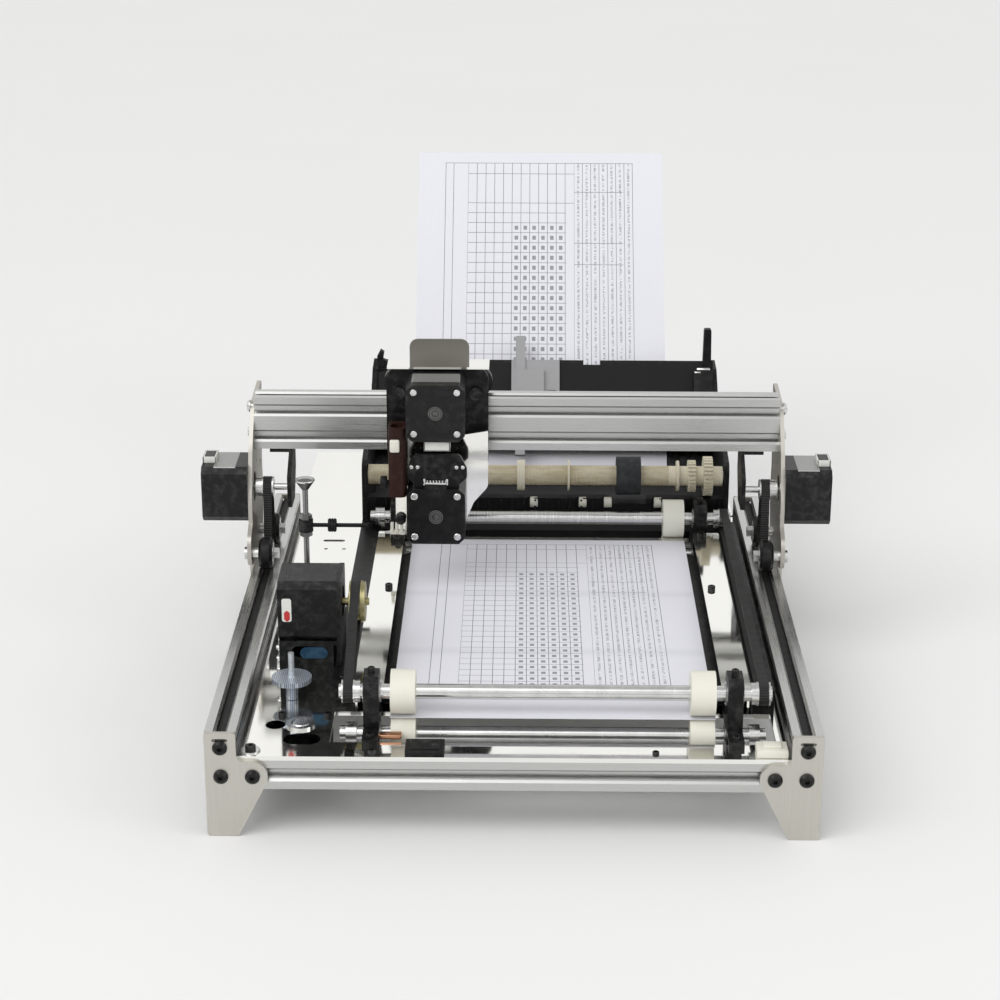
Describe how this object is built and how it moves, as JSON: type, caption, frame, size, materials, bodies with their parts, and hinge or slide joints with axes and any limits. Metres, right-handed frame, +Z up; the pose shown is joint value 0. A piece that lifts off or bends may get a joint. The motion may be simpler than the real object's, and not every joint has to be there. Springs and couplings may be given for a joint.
{
  "type": "desktop pen plotter",
  "caption": "Desktop gantry pen plotter: aluminium rail frame, belt-driven gantry and pen carriage, roller paper path and a sheet feeder behind.",
  "frame": {"origin": "on the table, under the middle of the machine's whole box", "axes": "+X to the right seen from the front, +Y from the front feet towards the sheet feeder, +Z up"},
  "size_m": [0.464, 0.682, 0.3037],
  "materials": {
    "aluminium_extrusion": "satin anodised",
    "plate_metal": "fine satin",
    "polished_steel": "mirror polished stainless",
    "black_screws": "black oxide",
    "belt_rubber": "ribbed",
    "black_metal": "satin black",
    "motor_black": "semi-gloss black",
    "black_plastic": "fine moulded texture",
    "wheel_plastic": "smooth acetal",
    "bright_steel": "ground bright",
    "cream_plastic": "smooth",
    "paper": "printed with faint ruled lines",
    "tan_plastic": "ribbed moulding",
    "dark_rubber": "matt",
    "grey_plastic": "fine moulded texture",
    "brass": "dull machined",
    "brown_plastic": "matt",
    "dark_steel": "oiled thread"
  },
  "bodies": {
    "frame": {"side_rails": "aluminium_extrusion", "front_rail": "aluminium_extrusion", "rear_rail": "aluminium_extrusion", "front_feet": "plate_metal", "rear_feet": "plate_metal", "frame_screws": "black_screws", "base_plate": "polished_steel", "y_belts": "belt_rubber", "paper_bed": "black_metal", "steel_strips": "polished_steel", "side_bars": "black_metal", "roller_brackets": "black_metal", "feed_motor": "motor_black", "motor_bracket": "black_metal", "feed_belts": "belt_rubber", "gauge_post": "dark_steel", "feeder_housing": "black_plastic", "hopper_tray": "black_plastic", "bed_paper": "paper", "hopper_paper": "paper", "button_bezel": "bright_steel"},
    "power_button": {"power_button": "bright_steel"},
    "gauge_arm": {"gauge_arm": "black_plastic"},
    "clamp_knob": {"clamp_knob": "bright_steel"},
    "paper_guide": {"paper_guide": "grey_plastic"},
    "feeder_roller": {"feeder_tube": "tan_plastic", "pickup_roller": "dark_rubber"},
    "feed_pulley": {"feed_pulley": "brass"},
    "front_lower_roller": {"front_lower_shaft": "bright_steel", "front_lower_rollers": "cream_plastic"},
    "front_upper_roller": {"front_upper_shaft": "bright_steel", "front_upper_rollers": "cream_plastic"},
    "rear_lower_roller": {"rear_lower_roller": "cream_plastic"},
    "rear_upper_roller": {"rear_upper_roller": "cream_plastic"},
    "gantry": {"gantry_plate_left": "plate_metal", "gantry_plate_right": "plate_metal", "gantry_beam": "aluminium_extrusion", "y_motor_left": "motor_black", "y_motor_right": "motor_black", "inner_brackets": "black_metal", "gantry_axles": "bright_steel", "x_belt": "belt_rubber", "y_belt_loops": "belt_rubber"},
    "y_pulleys": {"y_pulleys": "bright_steel"},
    "front_wheels": {"front_wheels": "wheel_plastic"},
    "rear_wheels": {"rear_wheels": "wheel_plastic"},
    "lower_wheels": {"lower_wheels": "wheel_plastic"},
    "carriage": {"carriage_plate": "black_metal", "x_motor": "motor_black", "carriage_axles": "bright_steel", "top_cover": "polished_steel", "z_plate": "polished_steel", "z_motor": "motor_black", "x_belt_loop": "belt_rubber"},
    "x_pulley": {"x_pulley": "bright_steel"},
    "upper_wheel_left": {"upper_wheel_left": "wheel_plastic"},
    "upper_wheel_right": {"upper_wheel_right": "wheel_plastic"},
    "lower_wheel": {"lower_wheel": "wheel_plastic"},
    "z_pinion": {"z_pinion": "brass"},
    "pen_slide": {"pen_slide": "brown_plastic"}
  },
  "joints": [
    {"name": "y_slide", "type": "slide", "parent": "frame", "child": "gantry", "axis": [0, 1, 0], "range_m": [-0.24, 0.03]},
    {"name": "x_slide", "type": "slide", "parent": "gantry", "child": "carriage", "axis": [1, 0, 0], "range_m": [0, 0.183]},
    {"name": "z_slide", "type": "slide", "parent": "carriage", "child": "pen_slide", "axis": [0, 0, 1], "range_m": [-0.012, 0.003]},
    {"name": "y_pulley_spin", "type": "hinge", "parent": "gantry", "child": "y_pulleys", "pos_m": [0, -0.02728, 0.126], "axis": [1, 0, 0], "continuous": true},
    {"name": "front_wheel_spin", "type": "hinge", "parent": "gantry", "child": "front_wheels", "pos_m": [0, -0.05328, 0.08275], "axis": [1, 0, 0], "continuous": true},
    {"name": "rear_wheel_spin", "type": "hinge", "parent": "gantry", "child": "rear_wheels", "pos_m": [0, -0.00128, 0.08275], "axis": [1, 0, 0], "continuous": true},
    {"name": "lower_wheel_spin", "type": "hinge", "parent": "gantry", "child": "lower_wheels", "pos_m": [0, -0.02728, 0.02125], "axis": [1, 0, 0], "continuous": true},
    {"name": "x_pulley_spin", "type": "hinge", "parent": "carriage", "child": "x_pulley", "pos_m": [-0.058, -0.00928, 0.2002], "axis": [0, 1, 0], "continuous": true},
    {"name": "upper_left_wheel_spin", "type": "hinge", "parent": "carriage", "child": "upper_wheel_left", "pos_m": [-0.086, -0.00928, 0.20375], "axis": [0, 1, 0], "continuous": true},
    {"name": "upper_right_wheel_spin", "type": "hinge", "parent": "carriage", "child": "upper_wheel_right", "pos_m": [-0.03, -0.00928, 0.20375], "axis": [0, 1, 0], "continuous": true},
    {"name": "carriage_lower_wheel_spin", "type": "hinge", "parent": "carriage", "child": "lower_wheel", "pos_m": [-0.058, -0.00928, 0.14225], "axis": [0, 1, 0], "continuous": true},
    {"name": "z_pinion_spin", "type": "hinge", "parent": "carriage", "child": "z_pinion", "pos_m": [-0.058, -0.04728, 0.122], "axis": [0, 1, 0], "continuous": true},
    {"name": "feed_spin", "type": "hinge", "parent": "frame", "child": "feed_pulley", "pos_m": [-0.107, -0.20928, 0.109], "axis": [1, 0, 0], "continuous": true},
    {"name": "front_upper_spin", "type": "hinge", "parent": "frame", "child": "front_upper_roller", "pos_m": [0.025, -0.29028, 0.08], "axis": [1, 0, 0], "continuous": true},
    {"name": "rear_upper_spin", "type": "hinge", "parent": "frame", "child": "rear_upper_roller", "pos_m": [0.025, 0.03372, 0.08], "axis": [1, 0, 0], "continuous": true},
    {"name": "front_lower_spin", "type": "hinge", "parent": "frame", "child": "front_lower_roller", "pos_m": [0.025, -0.29028, 0.05], "axis": [1, 0, 0], "continuous": true},
    {"name": "rear_lower_spin", "type": "hinge", "parent": "frame", "child": "rear_lower_roller", "pos_m": [0.025, 0.03372, 0.05], "axis": [1, 0, 0], "continuous": true},
    {"name": "pickup_spin", "type": "hinge", "parent": "frame", "child": "feeder_roller", "pos_m": [0.02, 0.06172, 0.105], "axis": [1, 0, 0], "continuous": true},
    {"name": "guide_slide", "type": "slide", "parent": "frame", "child": "paper_guide", "axis": [1, 0, 0], "range_m": [-0.09, 0.11]},
    {"name": "button_press", "type": "slide", "parent": "frame", "child": "power_button", "axis": [0, 0, 1], "range_m": [-0.0015, 0], "stiffness_N_per_m": 300, "springref_m": 0.002},
    {"name": "arm_swing", "type": "hinge", "parent": "frame", "child": "gauge_arm", "pos_m": [-0.152, -0.08328, 0.1165], "axis": [0, 0, 1], "range_deg": [-80, 80]},
    {"name": "knob_turn", "type": "hinge", "parent": "frame", "child": "clamp_knob", "pos_m": [-0.148, -0.24828, 0.06], "axis": [0, 0, 1], "continuous": true}
  ],
  "couplings": [
    {"joint": "y_pulley_spin", "follows": "y_slide", "rad_per_m": 157.08},
    {"joint": "front_wheel_spin", "follows": "y_slide", "rad_per_m": -93.023},
    {"joint": "rear_wheel_spin", "follows": "y_slide", "rad_per_m": -93.023},
    {"joint": "lower_wheel_spin", "follows": "y_slide", "rad_per_m": 93.023},
    {"joint": "x_pulley_spin", "follows": "x_slide", "rad_per_m": -196.35},
    {"joint": "upper_left_wheel_spin", "follows": "x_slide", "rad_per_m": 93.023},
    {"joint": "upper_right_wheel_spin", "follows": "x_slide", "rad_per_m": 93.023},
    {"joint": "carriage_lower_wheel_spin", "follows": "x_slide", "rad_per_m": -93.023},
    {"joint": "z_pinion_spin", "follows": "z_slide", "rad_per_m": 163.93},
    {"joint": "front_upper_spin", "follows": "feed_spin", "ratio": 2},
    {"joint": "rear_upper_spin", "follows": "feed_spin", "ratio": 2},
    {"joint": "front_lower_spin", "follows": "feed_spin", "ratio": -2},
    {"joint": "rear_lower_spin", "follows": "feed_spin", "ratio": -2}
  ]
}
